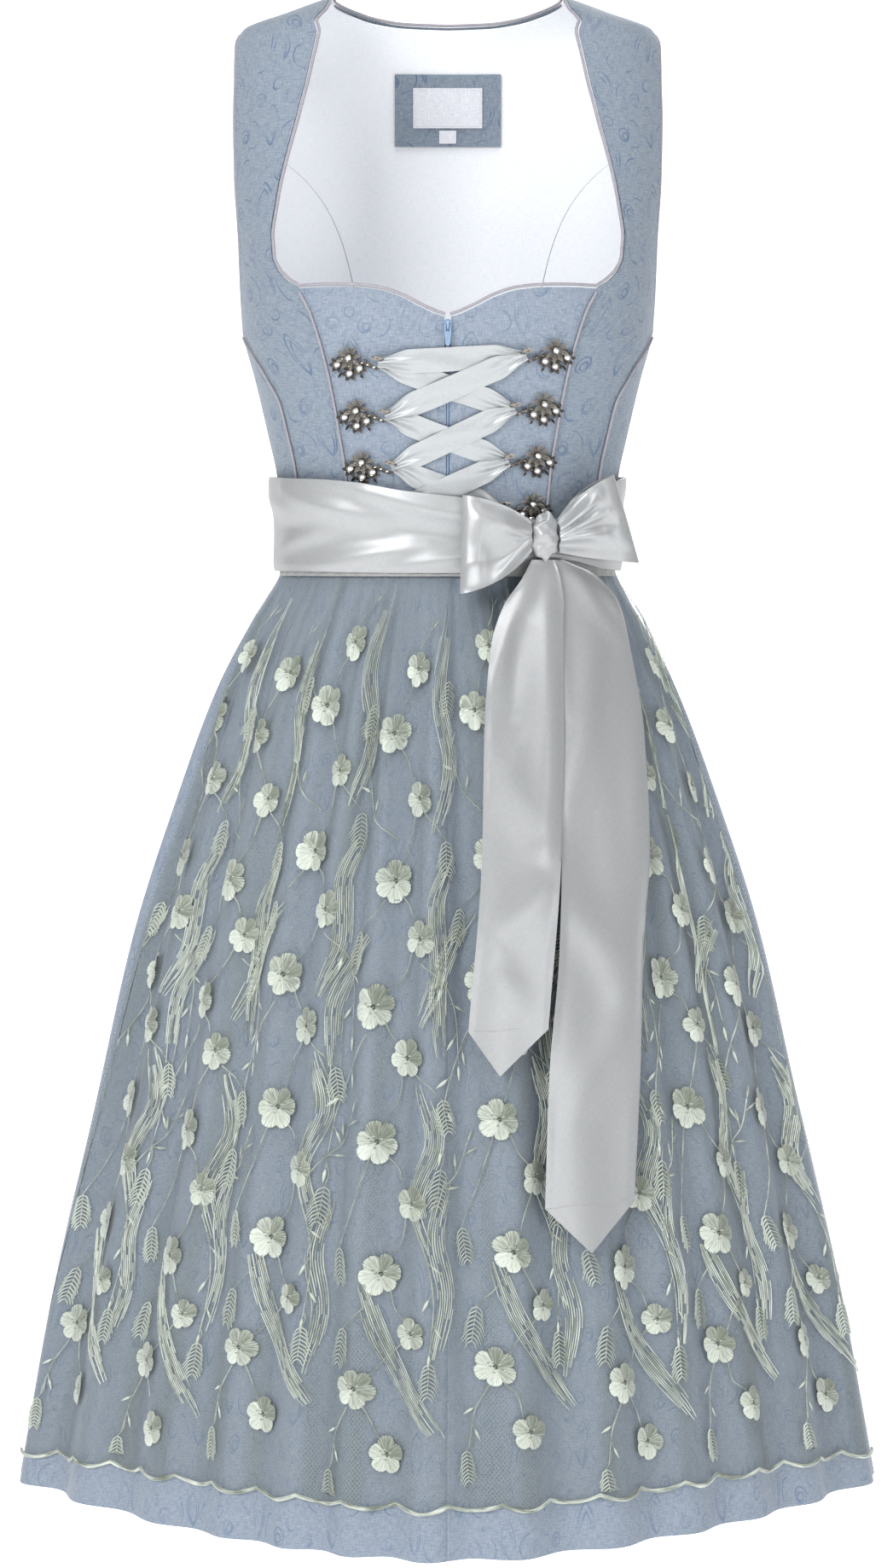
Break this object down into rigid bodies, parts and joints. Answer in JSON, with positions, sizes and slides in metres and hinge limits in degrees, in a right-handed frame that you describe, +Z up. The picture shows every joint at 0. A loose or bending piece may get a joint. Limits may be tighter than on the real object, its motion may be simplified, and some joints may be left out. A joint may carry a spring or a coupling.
{
  "type": "dirndl dress",
  "caption": "Worn-shape sleeveless midi dirndl: laced bodice, gathered skirt, embroidered net apron and a satin sash tied in a side bow.",
  "frame": {"origin": "midway between the two shoulder straps, at the height of the shoulder line, where the wearer's shoulders hold the dress", "axes": "+Z up along the body, -Y towards the front, +X towards the wearer's left; millimetre model, seen from the front +X is to the right"},
  "size_m": [0.619, 0.517, 1.058],
  "materials": {
    "jacquard_cloth": "dusty light blue melange jacquard with a tone-on-tone ornament",
    "lining_cloth": "plain white cotton lining",
    "satin_piping": "grey-lilac satin piping cord",
    "embroidered_net": "grey-green fine net with pale mint embroidery",
    "apron_satin": "silver-grey satin",
    "lace_ribbon": "white-silver satin ribbon",
    "label_tape": "woven white tape, bare",
    "zip_plastic": "light blue zip coil and lacquered slider",
    "antique_silver": "dark antique silver with clear stones"
  },
  "bodies": {
    "garment": {"bodice_front_center_left": "jacquard_cloth", "bodice_front_center_right": "jacquard_cloth", "bodice_front_side_left": "jacquard_cloth", "bodice_front_side_right": "jacquard_cloth", "bodice_side_left": "jacquard_cloth", "bodice_side_right": "jacquard_cloth", "bodice_back": "jacquard_cloth", "lining_side_left": "lining_cloth", "lining_side_right": "lining_cloth", "lining_back": "lining_cloth", "label_patch": "jacquard_cloth", "label": "label_tape", "size_tab": "label_tape", "piping_neckline": "satin_piping", "piping_armhole_left": "satin_piping", "piping_armhole_right": "satin_piping", "piping_princess_left": "satin_piping", "piping_princess_right": "satin_piping", "piping_side_seam_left": "satin_piping", "piping_side_seam_right": "satin_piping", "zip_coil": "zip_plastic", "zip_slider": "zip_plastic", "skirt_front_left": "jacquard_cloth", "skirt_front_right": "jacquard_cloth", "skirt_back": "jacquard_cloth", "apron": "embroidered_net", "apron_band": "apron_satin", "sash": "apron_satin", "bow_knot": "apron_satin", "bow_loop_left": "apron_satin", "bow_loop_right": "apron_satin", "bow_tail_left": "apron_satin", "bow_tail_right": "apron_satin", "hook_left_1": "antique_silver", "hook_right_1": "antique_silver", "hook_left_2": "antique_silver", "hook_right_2": "antique_silver", "hook_left_3": "antique_silver", "hook_right_3": "antique_silver", "hook_left_4": "antique_silver", "hook_right_4": "antique_silver", "lace_1": "lace_ribbon", "lace_2": "lace_ribbon", "lace_3": "lace_ribbon", "lace_4": "lace_ribbon", "lace_5": "lace_ribbon", "lace_6": "lace_ribbon", "lace_7": "lace_ribbon"},
    "pull_tab": {"zip_pull": "zip_plastic"}
  },
  "joints": [
    {"name": "pull_tab_hinge", "type": "hinge", "parent": "garment", "child": "pull_tab", "pos_m": [0, -0.13099, -0.2372], "axis": [-1, 0, 0], "range_deg": [0, 160]}
  ]
}
